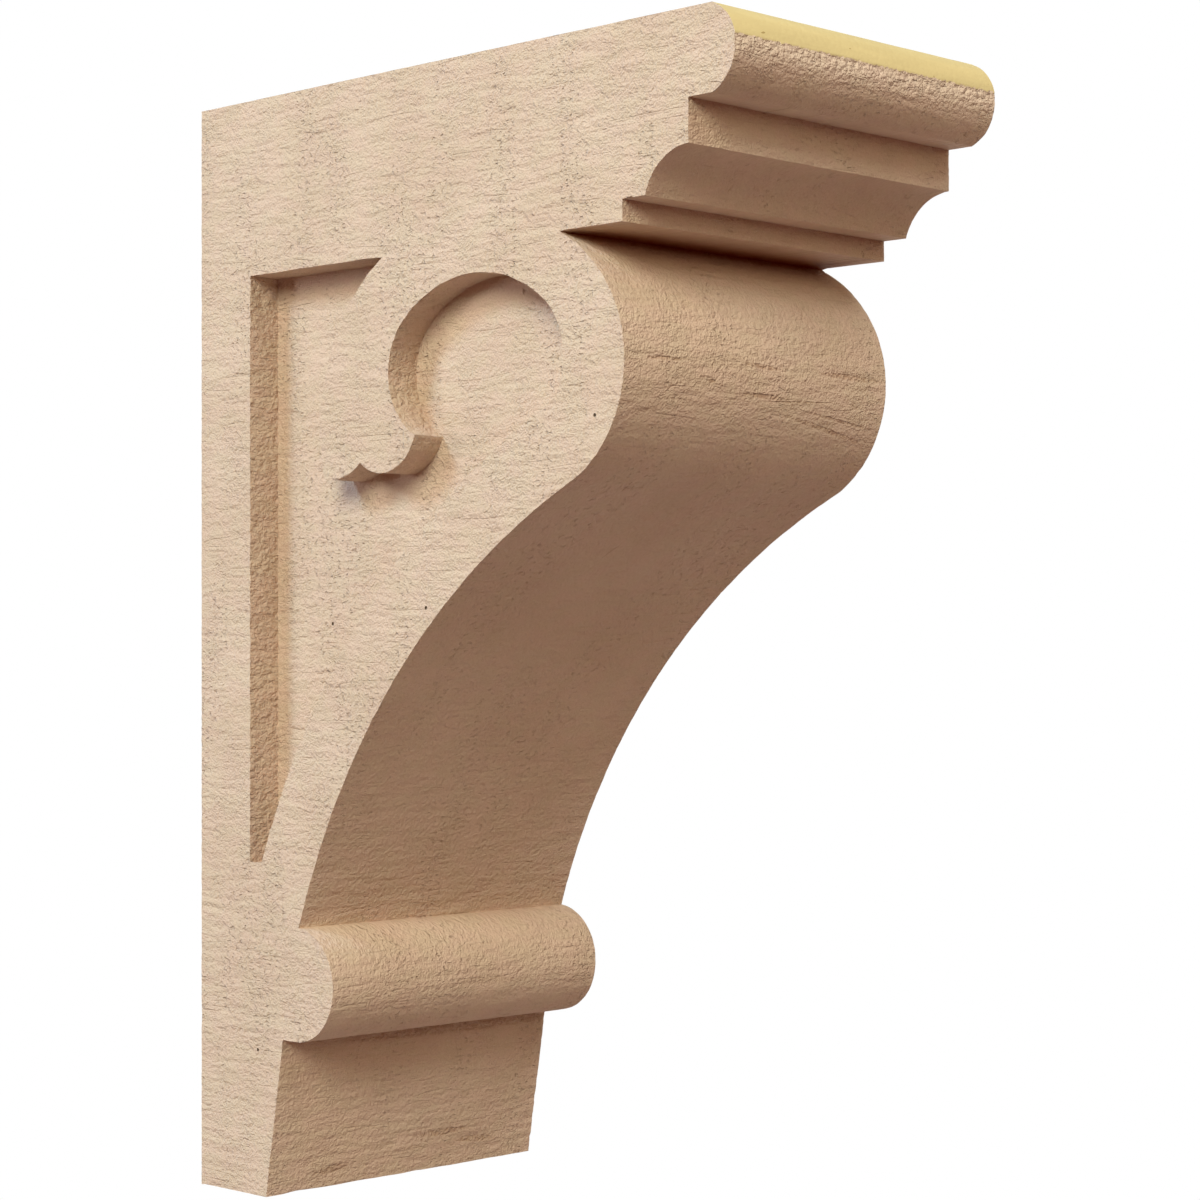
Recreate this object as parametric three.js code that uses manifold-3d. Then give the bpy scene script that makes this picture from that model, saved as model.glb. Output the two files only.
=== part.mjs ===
// Carved corbel: one solid casting with a moulded cap, a scrolled front, a bead and a plain foot.
// Millimetres. Z is up, the front faces -Y, the back face lies in the plane Y = 0.
// The origin is the centre of the back face.
import * as THREE from 'three';
import { mergeVertices } from 'three/addons/utils/BufferGeometryUtils.js';
import Module from 'manifold-3d';

const wasm = await Module();
wasm.setup();

// Overall size
const WIDTH = 101.6;
const DEPTH = 203.2;
const HEIGHT = 304.8;

// Cap mouldings, listed from the top down
const BULLNOSE_HEIGHT = 21.7;
const BULLNOSE_BULGE = 7.6;
const UPPER_STEP = 7.3;
const UPPER_FILLET_HEIGHT = 10.9;
const COVE_DEPTH = 14.3;
const COVE_HEIGHT = 10.95;
const COVE_RISE = 3.05;
const LOWER_STEP = 7.45;
const LOWER_FILLET_HEIGHT = 5.45;
const SOFFIT_DEPTH = 21.6;

// Scroll under the cap and the long sweep below it
const SCROLL_PROUD = 0.6;
const SCROLL_RADIUS = 32.9;
const SHOULDER_EXTRA_RADIUS = 8.4;
const SWEEP_RADIUS = 201;

// Bead and foot block
const BEAD_HEIGHT = 31.8;
const BEAD_BULGE = 14.3;
const BEAD_STEP = 7.0;
const FOOT_HEIGHT = 44.2;
const FOOT_TOP_DEPTH = 36.6;
const FOOT_SOLE_DEPTH = 29.3;

// Sunk field on each side
const RECESS_DEPTH = 10;
const BACK_MARGIN = 22.2;
const SILL_HEIGHT = 17;
const BAND_WIDTH = 21.6;

// Eye of the scroll
const EYE_HEAD = 7.5;
const EYE_LENGTH = 65.2;
const EYE_CROWN_RADIUS = 41.3;
const EYE_END_RADIUS = 18.4;

// Raised curl that hangs into the sunk field
const CURL_RADIUS = 50.5;
const CURL_SETBACK = 31.8;
const CURL_DROP = 11;
const CURL_HEEL_ANGLE = 16;
const CURL_TIP_ANGLE = 65;
const CUSP_SETBACK = 22.2;
const CUSP_DROP = 6.8;
const HEEL_LOBE_BULGE = 1.9;
const TIP_LOBE_BULGE = 6.0;

// Fineness of the round stretches and the reach of a cutter past a face
const CHORD_ERROR = 0.03;
const CUTTER_REACH = 2;

// Levels above the sole and reaches from the wall that follow from the sizes
const bullnoseFoot = HEIGHT - BULLNOSE_HEIGHT;
const upperFilletFoot = bullnoseFoot - UPPER_FILLET_HEIGHT;
const coveFoot = upperFilletFoot - COVE_HEIGHT;
const soffit = coveFoot - LOWER_FILLET_HEIGHT;
const beadHead = FOOT_HEIGHT + BEAD_HEIGHT;
const bullnoseReach = DEPTH - BULLNOSE_BULGE;
const upperFilletReach = bullnoseReach - UPPER_STEP;
const coveReach = upperFilletReach - COVE_DEPTH;
const lowerFilletReach = coveReach - LOWER_STEP;
const scrollReach = lowerFilletReach + SCROLL_PROUD;
const beadReach = FOOT_TOP_DEPTH + BEAD_STEP;

// Points of an outline are (reach from the wall, level above the sole)
const at = (reach, level) => new THREE.Vector2(reach, level);
const radians = THREE.MathUtils.degToRad;
const angleFrom = (centre, point) => Math.atan2(point.y - centre.y, point.x - centre.x);

// Arc about a centre, both ends included, from one angle to another in radians.
// The steps are even in number, so that the middle of the arc is a point of it.
function arcAbout(centre, radius, from, to) {
  const largestTurn = 2 * Math.acos(1 - CHORD_ERROR / radius);
  const steps = 2 * Math.ceil(Math.abs(to - from) / largestTurn / 2);
  const points = [];
  for (let i = 0; i <= steps; i += 1) {
    const angle = from + (to - from) * (i / steps);
    points.push(at(centre.x + radius * Math.cos(angle), centre.y + radius * Math.sin(angle)));
  }
  return points;
}

// Arc between two points that bulges to the left of the way from start to end
function arcBetween(start, end, bulge) {
  const halfChord = start.distanceTo(end) / 2;
  const radius = (halfChord ** 2 + bulge ** 2) / (2 * bulge);
  const along = end.clone().sub(start).normalize();
  const left = at(-along.y, along.x);
  const centre = start.clone().add(end).multiplyScalar(0.5).addScaledVector(left, bulge - radius);
  const from = angleFrom(centre, start);
  const halfTurn = 2 * Math.atan2(bulge, halfChord);
  return arcAbout(centre, radius, from, from - 2 * halfTurn);
}

// Centre of a circle at given distances from two points, to the left of the way from a to b
function centreLeftOf(a, fromA, b, fromB) {
  const gap = a.distanceTo(b);
  const along = (gap ** 2 + fromA ** 2 - fromB ** 2) / (2 * gap);
  const aside = Math.sqrt(fromA ** 2 - along ** 2);
  const unit = b.clone().sub(a).divideScalar(gap);
  return a.clone().addScaledVector(unit, along).addScaledVector(at(-unit.y, unit.x), aside);
}

// Scroll nose, the larger arc that leads into it from the soffit, and the sweep below it
const soffitTip = at(lowerFilletReach - SOFFIT_DEPTH, soffit);
const beadTop = at(beadReach, beadHead);
const nose = at(scrollReach - SCROLL_RADIUS, soffit - SCROLL_RADIUS);
const shoulderRadius = SCROLL_RADIUS + SHOULDER_EXTRA_RADIUS;
const shoulder = centreLeftOf(nose, SHOULDER_EXTRA_RADIUS, soffitTip, shoulderRadius);
const sweep = centreLeftOf(nose, SCROLL_RADIUS + SWEEP_RADIUS, beadTop, SWEEP_RADIUS);
const noseStart = angleFrom(shoulder, nose);
const noseEnd = angleFrom(nose, sweep);
const sweepStart = angleFrom(sweep, nose);
const sweepEnd = angleFrom(sweep, beadTop);

// Side outline of the whole corbel, from the top of the wall face down the front to the sole
function profileOutline() {
  const bullnose = arcBetween(at(bullnoseReach, HEIGHT), at(bullnoseReach, bullnoseFoot), BULLNOSE_BULGE);
  const coveTop = at(upperFilletReach, upperFilletFoot);
  const cove = arcBetween(at(coveReach, coveFoot), coveTop, COVE_RISE).reverse();
  const bead = arcBetween(beadTop, at(beadReach, FOOT_HEIGHT), BEAD_BULGE);
  return [
    at(0, HEIGHT),
    ...bullnose,
    at(upperFilletReach, bullnoseFoot),
    ...cove,
    at(lowerFilletReach, coveFoot),
    at(lowerFilletReach, soffit),
    ...arcAbout(shoulder, shoulderRadius, angleFrom(shoulder, soffitTip), noseStart),
    ...arcAbout(nose, SCROLL_RADIUS, noseStart, noseEnd).slice(1),
    ...arcAbout(sweep, SWEEP_RADIUS, sweepStart, sweepEnd).slice(1, -1),
    ...bead,
    at(FOOT_TOP_DEPTH, FOOT_HEIGHT),
    at(FOOT_SOLE_DEPTH, 0),
    at(0, 0),
  ];
}

// Everything behind the raised band that follows the scroll and the sweep
function insideBandOutline() {
  const innerRadius = SCROLL_RADIUS - BAND_WIDTH;
  const innerSweep = arcAbout(sweep, SWEEP_RADIUS + BAND_WIDTH, sweepStart, sweepEnd);
  const foot = innerSweep[innerSweep.length - 1];
  return [
    at(0, HEIGHT),
    at(nose.x + innerRadius, HEIGHT),
    ...arcAbout(nose, innerRadius, 0, noseEnd),
    ...innerSweep.slice(1),
    at(0, foot.y),
  ];
}

// Raised curl and the ground above the eye, up past the soffit
function curlOutline() {
  const eyeFront = scrollReach - BAND_WIDTH;
  const eyeSpan = EYE_LENGTH / 2 - EYE_END_RADIUS;
  const crown = at(eyeFront - EYE_LENGTH / 2, soffit - EYE_HEAD - EYE_CROWN_RADIUS);
  const endRise = Math.sqrt((EYE_CROWN_RADIUS - EYE_END_RADIUS) ** 2 - eyeSpan ** 2);
  const backEnd = at(crown.x - eyeSpan, crown.y + endRise);
  const frontEnd = at(crown.x + eyeSpan, crown.y + endRise);
  const crownStart = angleFrom(crown, backEnd);
  const crownEnd = angleFrom(crown, frontEnd);
  const tipAngle = radians(180 + CURL_TIP_ANGLE);
  const eye = [
    ...arcAbout(backEnd, EYE_END_RADIUS, tipAngle, crownStart),
    ...arcAbout(crown, EYE_CROWN_RADIUS, crownStart, crownEnd).slice(1),
    ...arcAbout(frontEnd, EYE_END_RADIUS, crownEnd, 0).slice(1),
  ];
  const tip = eye[0];
  const cusp = at(tip.x - CUSP_SETBACK, tip.y - CUSP_DROP);
  const curlCentre = at(nose.x - CURL_SETBACK, nose.y - CURL_DROP);
  const rootRise = soffit + CUTTER_REACH - curlCentre.y;
  const back = arcAbout(curlCentre, CURL_RADIUS, Math.PI - Math.asin(rootRise / CURL_RADIUS),
    radians(180 + CURL_HEEL_ANGLE));
  const heel = back[back.length - 1];
  return [
    ...back,
    ...arcBetween(cusp, heel, HEEL_LOBE_BULGE).reverse().slice(1),
    ...arcBetween(tip, cusp, TIP_LOBE_BULGE).reverse().slice(1),
    ...eye.slice(1),
    at(DEPTH, frontEnd.y),
    at(DEPTH, soffit + CUTTER_REACH),
  ];
}

// Square field between the back margin, the soffit line and the sill over the bead
function fieldOutline() {
  const sill = beadHead + SILL_HEIGHT;
  return [at(BACK_MARGIN, sill), at(DEPTH, sill), at(DEPTH, soffit), at(BACK_MARGIN, soffit)];
}

// Turns (reach, level, run across the width) into the part's own axes
const toPart = new THREE.Matrix4().makeBasis(
  new THREE.Vector3(0, -1, 0),
  new THREE.Vector3(0, 0, 1),
  new THREE.Vector3(-1, 0, 0),
).setPosition(WIDTH / 2, 0, -HEIGHT / 2);

function toManifold(geometry) {
  geometry.deleteAttribute('normal');
  geometry.deleteAttribute('uv');
  const merged = mergeVertices(geometry, 1e-5);
  return new wasm.Manifold(new wasm.Mesh({
    numProp: 3,
    vertProperties: new Float32Array(merged.attributes.position.array),
    triVerts: new Uint32Array(merged.index.array),
  }));
}

// Solid with the given side outline, between two stations across the width
function slab(outline, from, to) {
  const shape = new THREE.Shape(outline);
  const geometry = new THREE.ExtrudeGeometry(shape, { depth: to - from, bevelEnabled: false });
  geometry.translate(0, 0, from);
  return toManifold(geometry.applyMatrix4(toPart));
}

// Cutter for one sunk field, open at the side face
function recessCutter(from, to) {
  const below = from - CUTTER_REACH;
  const above = to + CUTTER_REACH;
  return slab(fieldOutline(), from, to)
    .intersect(slab(insideBandOutline(), below, above))
    .subtract(slab(curlOutline(), below, above));
}

function corbelSolid() {
  return slab(profileOutline(), 0, WIDTH)
    .subtract(recessCutter(-CUTTER_REACH, RECESS_DEPTH))
    .subtract(recessCutter(WIDTH - RECESS_DEPTH, WIDTH + CUTTER_REACH));
}

function toMesh(name, solid, material) {
  const { vertProperties, triVerts } = solid.getMesh();
  const geometry = new THREE.BufferGeometry();
  geometry.setAttribute('position', new THREE.BufferAttribute(new Float32Array(vertProperties), 3));
  geometry.setIndex(new THREE.BufferAttribute(new Uint32Array(triVerts), 1));
  geometry.computeVertexNormals();
  const mesh = new THREE.Mesh(geometry, material);
  mesh.name = name;
  return mesh;
}

const primed = new THREE.MeshStandardMaterial({ color: 0xd9c0a4, roughness: 0.85, metalness: 0 });

const group = new THREE.Group();
group.name = 'carved_corbel';
group.add(toMesh('corbel', corbelSolid(), primed));

export default group;
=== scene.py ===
import math

import bmesh
import bpy
import numpy as np
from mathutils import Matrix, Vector
from mathutils.geometry import delaunay_2d_cdt
from mathutils.kdtree import KDTree


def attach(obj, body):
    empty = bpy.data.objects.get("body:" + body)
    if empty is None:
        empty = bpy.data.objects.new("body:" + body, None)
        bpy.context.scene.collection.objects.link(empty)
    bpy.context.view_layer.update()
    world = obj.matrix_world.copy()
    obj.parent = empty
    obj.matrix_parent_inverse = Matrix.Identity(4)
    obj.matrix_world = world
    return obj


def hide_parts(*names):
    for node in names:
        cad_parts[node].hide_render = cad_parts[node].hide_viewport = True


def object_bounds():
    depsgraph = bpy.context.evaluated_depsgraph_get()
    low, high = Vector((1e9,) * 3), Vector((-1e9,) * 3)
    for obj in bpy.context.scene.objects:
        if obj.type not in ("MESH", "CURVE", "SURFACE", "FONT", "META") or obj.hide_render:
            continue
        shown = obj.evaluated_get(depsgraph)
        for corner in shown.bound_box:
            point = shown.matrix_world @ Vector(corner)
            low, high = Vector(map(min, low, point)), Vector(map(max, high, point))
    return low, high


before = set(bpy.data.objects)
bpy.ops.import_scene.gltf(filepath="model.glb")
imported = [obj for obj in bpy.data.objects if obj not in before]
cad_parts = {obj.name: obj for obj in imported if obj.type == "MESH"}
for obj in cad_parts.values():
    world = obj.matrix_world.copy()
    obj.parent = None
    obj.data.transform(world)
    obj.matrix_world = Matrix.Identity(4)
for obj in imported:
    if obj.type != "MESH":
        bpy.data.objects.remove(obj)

MM = 0.001
cad_box = [list(corner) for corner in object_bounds()]
low, high = (Vector(corner) for corner in cad_box)

# Camera, measured from the photo's perspective, with its place in metres
LENS_MM = 85
SENSOR_MM = 36
CAMERA_PLACE = (-0.5458, -0.6448, -0.0002)
CAMERA_TURN = math.radians(-45.53)
CAMERA_SHIFT_UP = 0.0405

# Lamps: direction from the object, width in metres, power in watts and colour of each
LAMP_DISTANCE = 3.0
LAMPS = {
    "key_lamp": ((-0.80, -0.35, 0.49), 1.65, 85.2, (0.97, 1.00, 0.84)),
    "top_lamp": ((0.00, -0.60, 0.80), 1.65, 33.4, (0.92, 1.00, 0.98)),
    "front_lamp": ((0.30, -0.90, 0.30), 1.65, 21.4, (1.00, 0.92, 0.68)),
    "side_lamp": ((-0.76, 0.62, 0.12), 0.75, 19.1, (1.00, 1.00, 1.00)),
    "cool_lamp": ((-0.70, 0.40, 0.60), 0.75, 45.2, (0.41, 0.71, 1.00)),
    "far_lamp": ((0.90, 0.42, 0.10), 1.65, 58.0, (1.00, 0.95, 0.88)),
}
AMBIENT_COLOUR = (0.088, 0.004, 0.0)

# Floor: how far it lies below the object, its width in metres, its colour and its roughness
FLOOR_DROP = 1.8
FLOOR_SIZE = 3.0
FLOOR_COLOUR = (0.84, 0.77, 0.71)
FLOOR_ROUGHNESS = 0.9

# Fineness of the mesh: steps along the outlines, then cells of the flat faces, each as (depth, height)
OUTLINE_STEP = (1.5 * MM, 0.7 * MM)
BACK_STEP = 1.1 * MM
NEAR_SIDE_CELL = (2.0 * MM, 0.47 * MM)
FAR_SIDE_CELL = (3.6 * MM, 1.3 * MM)
PLAIN_CELL = (7.0 * MM, 7.0 * MM)
FRONT_COLUMNS = 56
WALL_ROWS = 6

# Limits for reading the outlines: one level, one point, a corner, a straight run, a face that looks sideways
SAME_LEVEL = 0.01 * MM
SAME_POINT = 0.001 * MM
CORNER_ANGLE = math.radians(20)
STRAIGHT = math.sin(math.radians(0.1))
SIDEWAYS = 0.99

# Room from a rim to the nearest added point, in cells, and small numbers that guard roundings and divisions
RIM_CLEARANCE = 0.72
STEP_SLACK = 0.01
LEAST_SPREAD = 0.6
FILL_EPSILON = 1e-7
TINY = 1e-12

# Where the bare urethane of the open mould side ends, below the top
PARTING_DROP = 8.3 * MM
parting_level = high.z - PARTING_DROP

# Primer: colour, its olive patches, roughness and shine
PRIMER = (0.664, 0.482, 0.366)
PRIMER_OLIVE = (0.648, 0.488, 0.358)
PRIMER_ROUGHNESS = 0.82
PRIMER_SPECULAR = 0.25

# Bare urethane: colour, shade of its streaks, colour of its specks, roughness, shine and bump of its foam
URETHANE = (0.72, 0.585, 0.295)
URETHANE_STREAK_SHADE = 0.94
SPECK_COLOUR = (0.42, 0.30, 0.12)
URETHANE_ROUGHNESS = 0.6
URETHANE_SPECULAR = 0.35
URETHANE_BUMP_HEIGHT = 0.2 * MM
URETHANE_BUMP_STRENGTH = 0.35

# Axes that the texture of the sides and of the front is projected on
SIDE_PLANE = (0, 1, 1)
FRONT_PLANE = (1, 0, 1)

# Texture pressed into the mesh: each noise has its cell size along (x, y, z) in mm, a seed and a strength
SIDE_MEAN_DEPTH = 0.25
SIDE_WANDER = ((1, 26, 17), 10, 0.9)
SIDE_WAVELETS = ((1, 4.2, 1.2), 11, 0.05)
SIDE_STREAKS = ((1, 13, 2.3), 12, 0.06)
SIDE_SWELLS = ((1, 9, 5.5), 13, 0.09)
SIDE_BANDS = ((1, 13, 70), 14, 2.2)
SIDE_GOUGES = ((1, 4.4, 1.5), 17)
SIDE_GOUGE_DEPTH = 0.35
SIDE_CRACKS = ((1, 24, 6.5), 15)
SIDE_CRACK_SHARPNESS = 9
SIDE_CRACK_PATCHES = ((1, 17, 9), 16, 2)
SIDE_CRACK_DEPTH = 0.12

FRONT_MEAN_DEPTH = 0.30
FRONT_GRAIN = ((14, 1, 2.3), 21)
FRONT_GRAIN_DEPTH = 0.04
FRONT_WAVELETS = ((4.2, 1, 1.6), 22, 0.05)
FRONT_SWELLS = ((16, 1, 6), 23, 0.08)
FOOT_GOUGES = ((9, 1, 1.6), 24)
FOOT_GOUGE_DEPTH = 0.45
FOOT_GRAIN_DEPTH = 0.06
FOOT_TOP_MM = 30
FOOT_FADE_MM = 14
GOUGE_LEVEL = 0.15

WALL_MEAN_DEPTH = 0.25
WALL_BLOTCHES = ((4.5, 9, 3.2), 26, 0.16)
WALL_PEBBLES = ((3.3, 7, 1.8), 27, 0.08)
BARE_HOLLOWS = ((9, 9, 9), 31)
BARE_HOLLOW_DEPTH = 0.06
NOSE_MEAN_DEPTH = 0.05
NOSE_SWELLS = ((18, 1, 4), 32, 0.04)

# Crumbly primer under the bare band: its pebbles in the mesh, then its reach and height in the bump, and the
# share and colour of the painted highlight that lightens it
EDGE_PEBBLES = ((3.4, 1, 1.9), 25, 0.26)
EDGE_START = 1.15
EDGE_FADE_MM = 7.5
ROUGH_EDGE_REACH = (2.5 * MM, 8.0 * MM)
ROUGH_EDGE_HEIGHT = 0.7
ROUGH_EDGE_HIGHLIGHT_SHARE = 0.35
ROUGH_EDGE_HIGHLIGHT_COLOUR = (0.85, 0.68, 0.56)
RAGGED_HEIGHT = 1.6 * MM
PARTING_BLUR = 0.2 * MM
BARE_BUMP_SHARE = 0.12

# Primer texture finer than the mesh: cells along and across the grain in mm, then shares of the bump's height
BUMP_HEIGHT = 0.72 * MM
NOISE_ROUGHNESS = 0.55
GRIT_CELL, GRIT_HEIGHT = (0.52, 0.50), 0.55
PEBBLE_CELL, PEBBLE_HEIGHT = (1.5, 1.25), 0.80
STREAK_CELL, STREAK_HEIGHT = (12.0, 2.6), 0.95
BLOTCH_CELL, BLOTCH_HEIGHT = (2.4, 1.5), 1.5
CRACK_CELL, CRACK_PATCH_CELL, CRACK_HEIGHT = (48.0, 5.0), (13.0, 6.0), -0.14
DASH_CELL, DASH_BAND_CELL, DASH_HEIGHT = (1.7, 1.0), (13.0, 60.0), -0.50
PATCH_CELL = (9.0, 30.0)
CLOUD_CELL = (38.0, 24.0)
MOTTLE_CELL = (9.0, 5.0)

# Cells of the bare urethane's streaks, specks and foam, along (x, y, z) in mm
URETHANE_STREAK_CELL = (30.0, 4.0, 4.0)
SPECK_CELL = (3.0, 1.2, 1.2)
URETHANE_FOAM_CELL = (1.4, 1.4, 1.4)

# Ramps of these textures: from and to of the noise, then low and high of the result where they aren't 0 and 1
CRACK_LINE_RAMP = (0.004, 0.024, 1.0, 0.0)
CRACK_PATCH_RAMP = (0.48, 0.62)
DASH_BAND_RAMP = (0.50, 0.60, 0.15, 1.0)
DASH_RAMP = (0.60, 0.70)
PATCH_RAMP = (0.42, 0.62, 0.92, 1.22)
GRIT_SHADE_RAMP = (0.3, 0.7, 0.94, 1.04)
CLOUD_SHADE_RAMP = (0.3, 0.7, -0.03, 0.03)
MOTTLE_RAMP = (0.35, 0.65)
MARK_RAMP = (0.5, 1.0, 1.0, 0.0)
DARK_STREAK_BREAKS = (0.42, 0.6, 1.0, 0.35)
URETHANE_STREAK_RAMP = (0.35, 0.65)
SPECK_RAMP = (0.74, 0.8)

# How much cracks and dashes darken the primer, and the powers that turn a shade brown
CRACK_SHADE = -0.04
DASH_SHADE = -0.06
BROWN_RED_POWER = 0.7
BROWN_BLUE_POWER = 1.25

# Pits of the sides, as (y, z) in mm, and dark streaks of the front, as (x, z) of both ends and half width
SIDE_PITS = ((-156.8, 57.1), (-45.7, 6.6), (-95.0, 10.4), (-25.3, -111.7))
PIT_RADIUS = 0.55
# Painted shade: the inside of each pit is painted near-black, as the shade in its hollow
PIT_PAINTED_SHADE = (0.09, 0.055, 0.03)
PIT_HEIGHT = -1.0
DARK_STREAKS = (
    ((2.4, 63.1), (30.0, 64.4), 0.35),
    ((-8.5, 72.4), (10.1, 71.2), 0.8),
    ((20.8, 71.7), (50.8, 71.0), 1.0),
    ((-9.0, 64.4), (14.0, 64.2), 0.8),
    ((-21.0, 66.7), (-16.5, 67.0), 0.6),
    ((-44.0, 71.2), (-27.0, 71.6), 0.7),
    ((6.8, 60.8), (49.0, 54.0), 0.8),
    ((14.0, 62.0), (50.0, 58.0), 0.5),
    ((-29.0, 38.6), (-30.2, 42.6), 0.4),
    ((-9.4, 23.2), (-7.3, 27.3), 0.4),
    ((-36.0, -148.0), (-20.0, -146.6), 1.5),
    ((1.0, -141.8), (27.0, -141.6), 1.3),
    ((16.5, -144.4), (37.5, -146.1), 1.2),
    # Painted shade: this last streak darkens the crease under the bead, where the bead meets the foot
    ((-40.0, -110.3), (75.0, -110.1), 2.4),
)
DARK_STREAK_STRENGTH = 4.0
DARK_STREAK_HEIGHT = -0.35
ENDLESS = 1.0e6


# Outlines of the CAD solid, read from where its flat sides and sunk fields end

def outline_loops(mesh, level):
    """Closed loops of (y, z) points where the flat faces at one x end, the largest first."""
    links = {}
    for edge in mesh.edges:
        at_level = all(abs(vertex.co.x - level) < SAME_LEVEL for vertex in edge.verts)
        flats = sum(abs(face.normal.x) > SIDEWAYS for face in edge.link_faces)
        if at_level and flats == 1:
            first, second = (vertex.index for vertex in edge.verts)
            links.setdefault(first, []).append(second)
            links.setdefault(second, []).append(first)
    loops = []
    while links:
        start = next(iter(links))
        loop = [start]
        before, here = start, links[start][0]
        while here != start:
            loop.append(here)
            ahead = [index for index in links[here] if index != before][0]
            before, here = here, ahead
        for index in loop:
            del links[index]
        loops.append(turning_left(np.array([mesh.verts[index].co.yz for index in loop])))
    return sorted(loops, key=area, reverse=True)


def area(loop):
    ahead = np.roll(loop, -1, axis=0)
    return float(np.sum(loop[:, 0] * ahead[:, 1] - loop[:, 1] * ahead[:, 0])) / 2


def unit(vectors):
    return vectors / np.maximum(np.linalg.norm(vectors, axis=-1, keepdims=True), TINY)


def turning_left(loop):
    """The loop without the points on its straight runs, going round anticlockwise."""
    arrive = unit(loop - np.roll(loop, 1, axis=0))
    leave = unit(np.roll(loop, -1, axis=0) - loop)
    bend = np.abs(arrive[:, 0] * leave[:, 1] - arrive[:, 1] * leave[:, 0]) > STRAIGHT
    loop = loop[bend | ((arrive * leave).sum(axis=1) < 0)]
    return loop if area(loop) > 0 else loop[::-1]


def fine_loop(loop, solid_side):
    """The loop with more points and with its arcs made round, and at each point the direction into the solid.

    solid_side is 1 if the solid is inside the loop and -1 if it is outside. At a corner the direction is
    longer, so that both faces that meet there move in by the same amount.
    """
    count = len(loop)
    leave = unit(np.roll(loop, -1, axis=0) - loop)
    smooth = (np.roll(leave, 1, axis=0) * leave).sum(axis=1) > math.cos(CORNER_ANGLE)
    tangent = unit(np.roll(loop, -1, axis=0) - np.roll(loop, 1, axis=0))
    places, arrivals, departures = [], [], []
    for i in range(count):
        j = (i + 1) % count
        start, end, straight = loop[i], loop[j], leave[i]
        out = tangent[i] if smooth[i] else None
        back = tangent[j] if smooth[j] else None
        if out is None:
            out = straight if back is None else 2 * (straight @ back) * straight - back
        if back is None:
            back = 2 * (straight @ out) * straight - out
        length = np.linalg.norm(end - start)
        on_back = min(start[0], end[0]) > high.y - SAME_LEVEL
        cells = length / BACK_STEP if on_back else np.linalg.norm((end - start) / np.array(OUTLINE_STEP))
        steps = max(1, math.ceil(cells - STEP_SLACK))
        # A cubic curve through both ends with the directions found there, and its own direction
        for t in np.arange(steps) / steps:
            places.append((2 * t**3 - 3 * t**2 + 1) * start + (t**3 - 2 * t**2 + t) * length * out
                          + (3 * t**2 - 2 * t**3) * end + (t**3 - t**2) * length * back)
            heading = unit((6 * t**2 - 6 * t) * (start - end) + (3 * t**2 - 4 * t + 1) * length * out
                           + (3 * t**2 - 2 * t) * length * back)
            departures.append(heading)
            arrivals.append(last_back if t == 0 and i > 0 else heading)
        last_back = back
    arrivals[0] = last_back
    arrive, depart = np.array(arrivals), np.array(departures)
    first = solid_side * np.stack([-arrive[:, 1], arrive[:, 0]], axis=1)
    second = solid_side * np.stack([-depart[:, 1], depart[:, 0]], axis=1)
    inward = (first + second) / np.maximum(1 + (first * second).sum(axis=1), LEAST_SPREAD)[:, None]
    return np.array(places), inward


# Flat faces filled with even triangles

def is_inside(points, loop):
    inside = np.zeros(len(points), dtype=bool)
    for start, end in zip(loop, np.roll(loop, -1, axis=0)):
        rows = np.nonzero((start[1] > points[:, 1]) != (end[1] > points[:, 1]))[0]
        crossing = start[0] + (points[rows, 1] - start[1]) * (end[0] - start[0]) / (end[1] - start[1])
        inside[rows] ^= points[rows, 0] < crossing
    return inside


def fill(loops, cell):
    """Triangles inside the first loop, split along the others, with added points about one cell apart.

    Returns the added points, the triangles as index triples, and whether each is inside another loop.
    """
    scaled = [loop / np.array(cell) for loop in loops]
    rim = np.concatenate(scaled)
    tree = KDTree(len(rim))
    for i, (u, v) in enumerate(rim):
        tree.insert((u, v, 0), i)
    tree.balance()
    first, last = rim.min(axis=0), rim.max(axis=0)
    # Rows one cell apart, with every other row shifted by half a cell
    rows = []
    for i, v in enumerate(np.arange(first[1] + 0.5, last[1], 1.0)):
        across = np.arange(first[0] + 0.25 + 0.5 * (i % 2), last[0], 1.0)
        rows.append(np.stack([across, np.full(len(across), v)], axis=1))
    added = np.concatenate(rows)
    added = added[is_inside(added, scaled[0])]
    added = added[np.array([tree.find((u, v, 0))[2] > RIM_CLEARANCE for u, v in added], dtype=bool)]
    edges = []
    start = 0
    for loop in loops:
        edges += [(start + i, start + (i + 1) % len(loop)) for i in range(len(loop))]
        start += len(loop)
    points = np.concatenate([rim, added])
    found = delaunay_2d_cdt([Vector(point) for point in points], edges, [], 0, FILL_EPSILON, True)
    origin = [ids[0] for ids in found[3]]
    triangles = np.array([[origin[i] for i in face] for face in found[2]])
    kept = is_inside(points[triangles].mean(axis=1), scaled[0])
    triangles = triangles[kept]
    sunk = np.zeros(len(triangles), dtype=bool)
    for loop in scaled[1:]:
        sunk |= is_inside(points[triangles].mean(axis=1), loop)
    return added * np.array(cell), triangles, sunk


# The casting's mesh: rows of points across the width on every outline point, and filled sides

SIDE, FRONT, WALL, BARE = 0, 1, 2, 3


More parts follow.
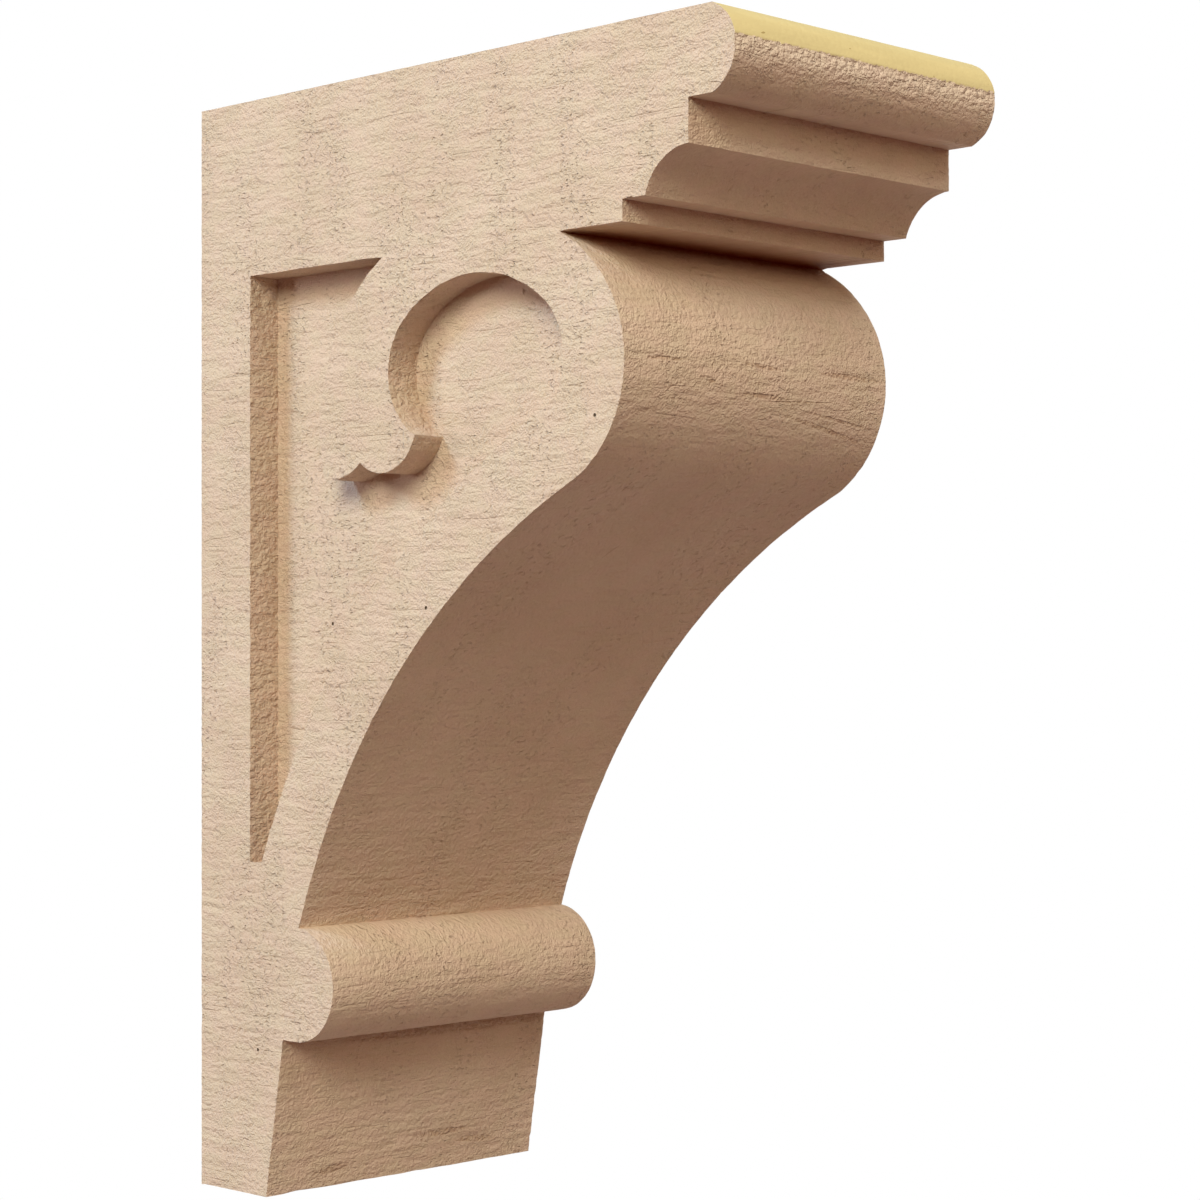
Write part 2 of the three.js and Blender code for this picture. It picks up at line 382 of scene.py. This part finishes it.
class Skin:
    """Points with the directions they are pressed in, and faces with their materials."""

    def __init__(self):
        self.places, self.sides, self.inward, self.textures = [], [], [], []
        self.faces, self.materials = [], []

    def point(self, x, at, side=0, inward=(0.0, 0.0), texture=FRONT):
        """Adds a point. side is 1 on faces that look to +x, -1 on those that look to -x and 0 elsewhere."""
        self.places.append((x, at[0], at[1]))
        self.sides.append(side)
        self.inward.append(inward)
        self.textures.append(texture)
        return len(self.places) - 1

    def face(self, corners, material, flip=False):
        self.faces.append(corners[::-1] if flip else corners)
        self.materials.append(material)

    def strip(self, first, second, material, flip=False):
        """Triangles between two rows of points, for a surface whose rows follow an anticlockwise outline."""
        for i in range(len(first) - 1):
            a, b, c, d = first[i], second[i], second[i + 1], first[i + 1]
            if i % 2:
                self.face((a, b, c), material, flip)
                self.face((a, c, d), material, flip)
            else:
                self.face((a, b, d), material, flip)
                self.face((b, c, d), material, flip)


def add_profile(skin, outline, inward):
    """The faces that run across the whole width. Returns the points at the near and the far side."""
    count = len(outline)
    on_back = outline[:, 0] > high.y - SAME_LEVEL
    on_top = outline[:, 1] > high.z - SAME_LEVEL
    columns = np.linspace(low.x, high.x, FRONT_COLUMNS + 1)
    rows = []
    for k in range(count):
        before, after = (k - 1) % count, (k + 1) % count
        amid_back = on_back[before] and on_back[k] and on_back[after]
        amid_top = on_top[before] and on_top[k] and on_top[after]
        xs = columns[[0, -1]] if amid_back or amid_top else columns
        sides = [-1] + [0] * (len(xs) - 2) + [1]
        texture = BARE if on_back[k] or on_top[k] else FRONT
        rows.append([skin.point(x, outline[k], side, inward[k], texture) for x, side in zip(xs, sides)])
    for k in range(count):
        after = (k + 1) % count
        if not (on_back[k] and on_back[after]) and not (on_top[k] and on_top[after]):
            skin.strip(rows[k], rows[after], FRONT)
    # The back and the top are flat, so they are filled from their rims
    for flags, axis in ((on_back, 1), (on_top, 0)):
        members = [k for k in range(count) if flags[k] and not flags[k - 1]][:1]
        while flags[(members[-1] + 1) % count]:
            members.append((members[-1] + 1) % count)
        ring = [rows[k][0] for k in members] + rows[members[-1]][1:-1]
        ring += [rows[k][-1] for k in reversed(members)] + rows[members[0]][-2:0:-1]
        flat = np.array([(skin.places[i][0], skin.places[i][1 + axis]) for i in ring])
        added, triangles, _ = fill([flat], PLAIN_CELL)
        fixed = high.y if axis == 1 else high.z
        into = (-1.0, 0.0) if axis == 1 else (0.0, -1.0)
        ids = ring + [skin.point(u, (fixed, v) if axis == 1 else (v, fixed), 0, into, BARE) for u, v in added]
        for triangle in triangles:
            skin.face(tuple(ids[i] for i in triangle), BARE, flip=axis == 1)
    return [row[0] for row in rows], [row[-1] for row in rows]


def add_walls(skin, outline, inward, rim_x, floor_x):
    """The walls of a sunk field. Returns the points along the rim and along the floor."""
    side = 1 if rim_x > floor_x else -1
    levels = np.linspace(rim_x, floor_x, WALL_ROWS + 1)
    rows = [[skin.point(x, at, side if x in (rim_x, floor_x) else 0, into, WALL) for x in levels]
            for at, into in zip(outline, inward)]
    for k in range(len(rows)):
        skin.strip(rows[k], rows[(k + 1) % len(rows)], WALL, flip=rim_x < floor_x)
    return [row[0] for row in rows], [row[-1] for row in rows]


def build_skin(solid):
    skin = Skin()
    levels = sorted({round(face.calc_center_median().x / MM, 3) for face in solid.faces
                     if abs(face.normal.x) > SIDEWAYS})
    near, near_floor, far_floor, far = (level * MM for level in levels)
    profile, *near_fields = outline_loops(solid, near)
    far_fields = outline_loops(solid, far)[1:]
    outline, inward = fine_loop(profile, 1)
    near_rim, far_rim = add_profile(skin, outline, inward)
    for rim, x, floor_x, fields, cell in ((near_rim, near, near_floor, near_fields, NEAR_SIDE_CELL),
                                          (far_rim, far, far_floor, far_fields, FAR_SIDE_CELL)):
        side = -1 if x < 0 else 1
        loops, on_side, on_floor = [outline], list(rim), list(rim)
        for field in fields:
            edge, into = fine_loop(field, -1)
            rim_points, floor_points = add_walls(skin, edge, into, x, floor_x)
            loops.append(edge)
            on_side += rim_points
            on_floor += floor_points
        added, triangles, sunk = fill(loops, cell)
        in_field = np.zeros(len(added), dtype=bool)
        for loop in loops[1:]:
            in_field |= is_inside(added, loop)
        extra = [skin.point(floor_x if sunken else x, at, side) for at, sunken in zip(added, in_field)]
        on_side += extra
        on_floor += extra
        for triangle, sunken in zip(triangles, sunk):
            ids = on_floor if sunken else on_side
            skin.face(tuple(ids[i] for i in triangle), SIDE, flip=x < 0)
    return skin


# Gradient noise on a lattice of random directions, the same on every run

HASH_PRIMES = (73856093, 19349663, 83492791, 2654435761)
HASH_ROUNDS = ((13, 1274126177), (15, 40503))
HASH_BITS = 0x7FFFFFFF
GRAIN_GAIN = 1.6


def lattice_value(cells, seed):
    """A fixed random number from -1 to 1 for each whole-numbered cell, hashed from its numbers."""
    first, second, third, last = HASH_PRIMES
    mixed = cells[:, 0] * first ^ cells[:, 1] * second ^ cells[:, 2] * third ^ seed * last
    for shift, factor in HASH_ROUNDS:
        mixed = (mixed ^ (mixed >> shift)) * factor & HASH_BITS
    return (mixed >> 7 & 0xFFFF) / 0x7FFF - 1


def grain(points, cell_mm, seed):
    """Smooth noise from about -1 to 1 whose bumps are about cell_mm long on each axis."""
    at = points / (np.array(cell_mm) * MM)
    base = np.floor(at).astype(np.int64)
    part = at - base
    fade = part * part * part * (part * (part * 6 - 15) + 10)
    total = np.zeros(len(points))
    for corner in np.ndindex(2, 2, 2):
        here = np.array(corner)
        weight = np.prod(np.where(here == 1, fade, 1 - fade), axis=1)
        away = part - here
        for axis in range(3):
            total += weight * away[:, axis] * lattice_value(base + here, seed * 3 + axis)
    return total * GRAIN_GAIN


# The texture that the mould pressed into the surface, as depths in mm

def layer(points, cell_mm, seed, strength):
    return grain(points, cell_mm, seed) * strength


def side_depth(points):
    """Saw texture of the side faces and sunk fields: streaks that run with the depth."""
    flat = points * np.array(SIDE_PLANE)
    flat[:, 2] += layer(flat, *SIDE_WANDER) * MM
    bands = np.clip(layer(flat, *SIDE_BANDS), 0, 1)
    wavelets = layer(flat, *SIDE_WAVELETS)
    streaks = layer(flat, *SIDE_STREAKS)
    swells = layer(flat, *SIDE_SWELLS)
    gouges = np.clip(grain(flat, *SIDE_GOUGES) - GOUGE_LEVEL, 0, 1) * bands * SIDE_GOUGE_DEPTH
    cracks = np.clip(1 - np.abs(grain(flat, *SIDE_CRACKS)) * SIDE_CRACK_SHARPNESS, 0, 1)
    cracks *= np.clip(layer(flat, *SIDE_CRACK_PATCHES), 0, 1)
    return SIDE_MEAN_DEPTH + wavelets + streaks + swells + gouges + cracks * SIDE_CRACK_DEPTH


def front_depth(points):
    """Texture of the front, cap and foot, as if pressed straight back into them."""
    flat = points * np.array(FRONT_PLANE)
    below_parting = (parting_level - points[:, 2]) / MM
    rough_edge = np.clip(EDGE_START - below_parting / EDGE_FADE_MM, 0, 1) * (below_parting > 0)
    height = (points[:, 2] - low.z) / MM
    foot = np.clip((FOOT_TOP_MM - height) / FOOT_FADE_MM, 0, 1)
    streaks = grain(flat, *FRONT_GRAIN) * (FRONT_GRAIN_DEPTH + FOOT_GRAIN_DEPTH * foot)
    wavelets = layer(flat, *FRONT_WAVELETS)
    swells = layer(flat, *FRONT_SWELLS)
    gouges = np.clip(grain(flat, *FOOT_GOUGES) - GOUGE_LEVEL, 0, 1) * FOOT_GOUGE_DEPTH * foot
    pebbles = layer(flat, *EDGE_PEBBLES) * rough_edge
    return FRONT_MEAN_DEPTH + streaks + wavelets + swells + gouges + pebbles


def wall_depth(points):
    """Blotchy texture of the walls around the sunk fields."""
    return WALL_MEAN_DEPTH + layer(points, *WALL_BLOTCHES) + layer(points, *WALL_PEBBLES)


def pressed_places(skin):
    """The skin's points after the texture is pressed in."""
    places = np.array(skin.places)
    sides, inward, textures = np.array(skin.sides), np.array(skin.inward), np.array(skin.textures)
    across = side_depth(places)
    along = front_depth(places)
    walls = textures == WALL
    along[walls] = wall_depth(places[walls])
    plain = textures == BARE
    along[plain] = np.clip(grain(places[plain], *BARE_HOLLOWS), 0, 1) * BARE_HOLLOW_DEPTH
    nose = (places[:, 2] > parting_level) & (textures == FRONT)
    along[nose] = NOSE_MEAN_DEPTH + layer(places[nose], *NOSE_SWELLS)
    places[:, 0] -= sides * across * MM
    places[:, 1:] += inward * along[:, None] * MM
    return places


def add_casting():
    """The one piece: a fine mesh between the CAD solid's outlines, with the texture pressed into it."""
    solid = bmesh.new()
    solid.from_mesh(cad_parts["corbel"].data)
    bmesh.ops.remove_doubles(solid, verts=solid.verts, dist=SAME_POINT)
    solid.verts.ensure_lookup_table()
    solid.verts.index_update()
    solid.normal_update()
    skin = build_skin(solid)
    solid.free()

    mesh = bmesh.new()
    for place in skin.places:
        mesh.verts.new(place)
    mesh.verts.ensure_lookup_table()
    for corners, material in zip(skin.faces, skin.materials):
        face = mesh.faces.new([mesh.verts[i] for i in corners])
        face.material_index = material
        face.smooth = True
    mesh.normal_update()
    for edge in mesh.edges:
        edge.smooth = edge.calc_face_angle(0) < CORNER_ANGLE
    for vertex, place in zip(mesh.verts, pressed_places(skin)):
        vertex.co = place
    data = bpy.data.meshes.new("corbel_casting")
    mesh.to_mesh(data)
    mesh.free()

    piece = bpy.data.objects.new("corbel_casting", data)
    bpy.context.scene.collection.objects.link(piece)
    data.materials.append(primed_material("primed_side", SIDE_PLANE))
    data.materials.append(primed_material("primed_front", FRONT_PLANE, bare_top=True))
    data.materials.append(primed_material("primed_wall", (1, 1, 1), blotchy=True))
    data.materials.append(bare_material())
    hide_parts("corbel")
    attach(piece, "root")


# Small helpers that build node trees

def put(tree, kind, settings=None, **inputs):
    """Adds a node. Its sockets are set by name, with _ for a space, to a value or another node's output."""
    node = tree.nodes.new(kind)
    for name, value in (settings or {}).items():
        setattr(node, name, value)
    for name, value in inputs.items():
        feed(tree, node.inputs[name.replace("_", " ")], value)
    return node


def feed(tree, socket, value):
    if isinstance(value, bpy.types.NodeSocket):
        tree.links.new(value, socket)
    else:
        socket.default_value = value


def calc(tree, operation, a, b=0.0):
    node = put(tree, "ShaderNodeMath", {"operation": operation})
    feed(tree, node.inputs[0], a)
    feed(tree, node.inputs[1], b)
    return node.outputs[0]


def times(tree, *values):
    total = values[0]
    for value in values[1:]:
        total = calc(tree, "MULTIPLY", total, value)
    return total


def plus(tree, *values):
    total = values[0]
    for value in values[1:]:
        total = calc(tree, "ADD", total, value)
    return total


# The colour sockets of a Mix node, which share their names with its other sockets
MIX_FACTOR, MIX_FIRST, MIX_SECOND, MIX_RESULT = 0, 6, 7, 2


def blend_colours(tree, factor, first, second, mode="MIX"):
    node = put(tree, "ShaderNodeMix", {"data_type": "RGBA", "blend_type": mode})
    feed(tree, node.inputs[MIX_FACTOR], factor)
    feed(tree, node.inputs[MIX_FIRST], first)
    feed(tree, node.inputs[MIX_SECOND], second)
    return node.outputs[MIX_RESULT]


def ramp(tree, value, start, end, low_value=0.0, high_value=1.0):
    """Smooth change from low_value to high_value as value goes from start to end."""
    node = put(tree, "ShaderNodeMapRange", {"interpolation_type": "SMOOTHSTEP"}, Value=value,
               From_Min=start, From_Max=end, To_Min=low_value, To_Max=high_value)
    return node.outputs[0]


def stretched(tree, cell_mm):
    """Object coordinates scaled so that noise of scale 1 has cells of this size; 0 flattens an axis."""
    place = put(tree, "ShaderNodeTexCoord").outputs["Object"]
    scale = [0.0 if cell == 0 else 1 / (cell * MM) for cell in cell_mm]
    return put(tree, "ShaderNodeMapping", Vector=place, Scale=scale).outputs[0]


def noise_at(tree, cell_mm, detail=1.0):
    node = put(tree, "ShaderNodeTexNoise", Vector=stretched(tree, cell_mm), Scale=1.0, Detail=detail,
               Roughness=NOISE_ROUGHNESS)
    return node.outputs["Fac"]


def rgba(colour):
    return (*colour, 1.0)


def new_material(name):
    material = bpy.data.materials.new(name)
    material.use_nodes = True
    tree = material.node_tree
    return material, tree, tree.nodes["Principled BSDF"]


def mark(tree, middle_mm, half_size_mm, turn=0.0):
    """1 in the middle of one small mark, falling to 0 at its rim. turn is its angle about the Y axis."""
    place = put(tree, "ShaderNodeTexCoord").outputs["Object"]
    near = put(tree, "ShaderNodeMapping", {"vector_type": "TEXTURE"}, Vector=place,
               Location=[part * MM for part in middle_mm], Rotation=(0.0, turn, 0.0),
               Scale=[part * MM for part in half_size_mm])
    away = put(tree, "ShaderNodeVectorMath", {"operation": "LENGTH"})
    feed(tree, away.inputs[0], near.outputs[0])
    return ramp(tree, away.outputs["Value"], *MARK_RAMP)


def pits(tree):
    """1 inside the small round pits of the sides, 0 outside."""
    size = (ENDLESS, PIT_RADIUS, PIT_RADIUS)
    return plus(tree, *(mark(tree, (0.0, depth, height), size) for depth, height in SIDE_PITS))


def dark_streaks(tree):
    """1 inside the dark streaks of the front, 0 outside."""
    found = []
    for (x0, z0), (x1, z1), half_width in DARK_STREAKS:
        size = (math.hypot(x1 - x0, z1 - z0) / 2, ENDLESS, half_width)
        found.append(mark(tree, ((x0 + x1) / 2, 0.0, (z0 + z1) / 2), size, -math.atan2(z1 - z0, x1 - x0)))
    return plus(tree, *found)


def cracks(tree, line_cell, patch_cell):
    """1 on thin lines, broken up in patches, 0 elsewhere."""
    off = calc(tree, "ABSOLUTE", calc(tree, "SUBTRACT", noise_at(tree, line_cell), 0.5))
    patches = ramp(tree, noise_at(tree, patch_cell, detail=0.0), *CRACK_PATCH_RAMP)
    return times(tree, ramp(tree, off, *CRACK_LINE_RAMP), patches)


def crumbs(tree, cell_mm):
    """Height of packed crumbs: high in the middle of each, low in the creases."""
    voronoi = put(tree, "ShaderNodeTexVoronoi", Vector=stretched(tree, cell_mm), Scale=1.0)
    return calc(tree, "SUBTRACT", 1.0, calc(tree, "POWER", voronoi.outputs["Distance"], 2.0))


def primed_material(name, plane, bare_top=False, blotchy=False):
    """Tan primer on saw marks. plane is 1 on the axes that the texture is projected on, and 0 elsewhere."""
    material, tree, shader = new_material(name)

    def cell(size):
        along, across = size
        return (along * plane[0], along * plane[1], across)

    grit = noise_at(tree, cell(GRIT_CELL))
    pebbles = noise_at(tree, cell(PEBBLE_CELL))
    streaks = noise_at(tree, cell(STREAK_CELL))
    clouds = noise_at(tree, cell(CLOUD_CELL), detail=0.0)
    mottle = noise_at(tree, cell(MOTTLE_CELL))
    crack = cracks(tree, cell(CRACK_CELL), cell(CRACK_PATCH_CELL))
    bands = ramp(tree, noise_at(tree, cell(DASH_BAND_CELL), detail=0.0), *DASH_BAND_RAMP)
    dash = times(tree, ramp(tree, noise_at(tree, cell(DASH_CELL)), *DASH_RAMP), bands)

    # Grit and pebbles are taken around their mean, so that the rougher patches aren't higher as a whole
    patches = ramp(tree, noise_at(tree, cell(PATCH_CELL)), *PATCH_RAMP)
    mean = (GRIT_HEIGHT + PEBBLE_HEIGHT) / 2
    height = plus(tree, times(tree, grit, GRIT_HEIGHT), times(tree, pebbles, PEBBLE_HEIGHT), -mean)
    height = plus(tree, times(tree, height, patches), times(tree, streaks, STREAK_HEIGHT),
                  times(tree, crack, CRACK_HEIGHT), times(tree, dash, DASH_HEIGHT))
    if blotchy:
        height = plus(tree, height, times(tree, noise_at(tree, cell(BLOTCH_CELL), detail=2.0), BLOTCH_HEIGHT))
    if bare_top:
        # The dark streaks darken and dent the front; the one along the junction under the bead is painted
        # shade
        streak = times(tree, dark_streaks(tree), ramp(tree, pebbles, *DARK_STREAK_BREAKS))
        dash = plus(tree, dash, times(tree, streak, DARK_STREAK_STRENGTH))
        height = plus(tree, height, times(tree, streak, DARK_STREAK_HEIGHT))

    shade = plus(tree, ramp(tree, grit, *GRIT_SHADE_RAMP), ramp(tree, clouds, *CLOUD_SHADE_RAMP),
                 times(tree, crack, CRACK_SHADE), times(tree, dash, DASH_SHADE))
    brown = put(tree, "ShaderNodeCombineColor", Red=calc(tree, "POWER", shade, BROWN_RED_POWER), Green=shade,
                Blue=calc(tree, "POWER", shade, BROWN_BLUE_POWER)).outputs[0]
    colour = blend_colours(tree, ramp(tree, mottle, *MOTTLE_RAMP), rgba(PRIMER), rgba(PRIMER_OLIVE))
    colour = blend_colours(tree, 1.0, colour, brown, "MULTIPLY")
    strength = 1.0
    if plane == SIDE_PLANE:
        pit = pits(tree)
        height = plus(tree, height, times(tree, pit, PIT_HEIGHT))
        # Painted shade: the pits, dented in the bump above, are also painted near-black inside
        colour = blend_colours(tree, pit, colour, rgba(PIT_PAINTED_SHADE))
    if bare_top:
        place = put(tree, "ShaderNodeTexCoord").outputs["Object"]
        level = put(tree, "ShaderNodeSeparateXYZ", Vector=place).outputs["Z"]
        below = calc(tree, "SUBTRACT", parting_level, level)
        rough_edge = ramp(tree, below, *ROUGH_EDGE_REACH, 1.0, 0.0)
        packed = crumbs(tree, cell(PEBBLE_CELL))
        height = plus(tree, height, times(tree, packed, rough_edge, ROUGH_EDGE_HEIGHT))
        # Painted highlight: the crumbly band just below the bare top is lightened towards pale pink, standing
        # in for light catching its crumbs
        painted_highlight = times(tree, rough_edge, ROUGH_EDGE_HIGHLIGHT_SHARE)
        colour = blend_colours(tree, painted_highlight, colour, rgba(ROUGH_EDGE_HIGHLIGHT_COLOUR))
        ragged = times(tree, calc(tree, "SUBTRACT", pebbles, 0.5), RAGGED_HEIGHT)
        edge = plus(tree, level, ragged)
        bare = ramp(tree, edge, parting_level - PARTING_BLUR, parting_level + PARTING_BLUR)
        colour = blend_colours(tree, bare, colour, bare_colour(tree))
        strength = ramp(tree, bare, 0.0, 1.0, 1.0, BARE_BUMP_SHARE)
    bump = put(tree, "ShaderNodeBump", Strength=strength, Distance=BUMP_HEIGHT, Height=height)
    feed(tree, shader.inputs["Base Color"], colour)
    feed(tree, shader.inputs["Normal"], bump.outputs[0])
    shader.inputs["Roughness"].default_value = PRIMER_ROUGHNESS
    shader.inputs["Specular IOR Level"].default_value = PRIMER_SPECULAR
    return material


def bare_colour(tree):
    """Cut yellow urethane foam, with faint trimming streaks and a few dark specks."""
    streaks = noise_at(tree, URETHANE_STREAK_CELL, detail=3.0)
    specks = noise_at(tree, SPECK_CELL)
    darker = tuple(part * URETHANE_STREAK_SHADE for part in URETHANE)
    colour = blend_colours(tree, ramp(tree, streaks, *URETHANE_STREAK_RAMP), rgba(darker), rgba(URETHANE))
    return blend_colours(tree, ramp(tree, specks, *SPECK_RAMP), colour, rgba(SPECK_COLOUR))


def bare_material():
    material, tree, shader = new_material("bare_urethane")
    cells = noise_at(tree, URETHANE_FOAM_CELL, detail=3.0)
    bump = put(tree, "ShaderNodeBump", Strength=URETHANE_BUMP_STRENGTH, Distance=URETHANE_BUMP_HEIGHT,
               Height=cells)
    feed(tree, shader.inputs["Base Color"], bare_colour(tree))
    feed(tree, shader.inputs["Normal"], bump.outputs[0])
    shader.inputs["Roughness"].default_value = URETHANE_ROUGHNESS
    shader.inputs["Specular IOR Level"].default_value = URETHANE_SPECULAR
    return material


# Studio: camera, lamps, ambient light and a pale floor far enough below to stay out of the main view

def add_camera():
    data = bpy.data.cameras.new("camera")
    data.lens = LENS_MM
    data.sensor_width = SENSOR_MM
    data.shift_y = CAMERA_SHIFT_UP
    camera = bpy.data.objects.new("camera", data)
    camera.location = CAMERA_PLACE
    camera.rotation_euler = (math.pi / 2, 0, CAMERA_TURN)
    bpy.context.scene.collection.objects.link(camera)
    bpy.context.scene.camera = camera


def add_lamp(name, direction, size, power, colour):
    data = bpy.data.lights.new(name, "AREA")
    data.shape = "DISK"
    data.size = size
    data.energy = power
    data.color = colour
    lamp = bpy.data.objects.new(name, data)
    lamp.location = (low + high) / 2 + Vector(direction).normalized() * LAMP_DISTANCE
    lamp.rotation_euler = Vector(direction).to_track_quat("Z", "Y").to_euler()
    bpy.context.scene.collection.objects.link(lamp)


def add_ambient():
    world = bpy.data.worlds.new("studio")
    world.use_nodes = True
    tree = world.node_tree
    tree.nodes.clear()
    seen = put(tree, "ShaderNodeBackground", Color=(1, 1, 1, 1), Strength=1.0)
    ambient = put(tree, "ShaderNodeBackground", Color=rgba(AMBIENT_COLOUR), Strength=1.0)
    path = put(tree, "ShaderNodeLightPath")
    mix = put(tree, "ShaderNodeMixShader")
    feed(tree, mix.inputs[0], path.outputs["Is Camera Ray"])
    feed(tree, mix.inputs[1], ambient.outputs[0])
    feed(tree, mix.inputs[2], seen.outputs[0])
    output = put(tree, "ShaderNodeOutputWorld", Surface=mix.outputs[0])
    output.is_active_output = True
    bpy.context.scene.world = world


def add_floor():
    data = bpy.data.meshes.new("floor")
    half = FLOOR_SIZE / 2
    level = low.z - FLOOR_DROP
    corners = [(-half, -half, level), (half, -half, level), (half, half, level), (-half, half, level)]
    data.from_pydata(corners, [], [(0, 1, 2, 3)])
    floor = bpy.data.objects.new("floor", data)
    bpy.context.scene.collection.objects.link(floor)
    material, tree, shader = new_material("pale_floor")
    shader.inputs["Base Color"].default_value = rgba(FLOOR_COLOUR)
    shader.inputs["Roughness"].default_value = FLOOR_ROUGHNESS
    data.materials.append(material)


add_casting()
add_camera()
for name, settings in LAMPS.items():
    add_lamp(name, *settings)
add_ambient()
add_floor()
bpy.context.scene.view_settings.view_transform = "Standard"
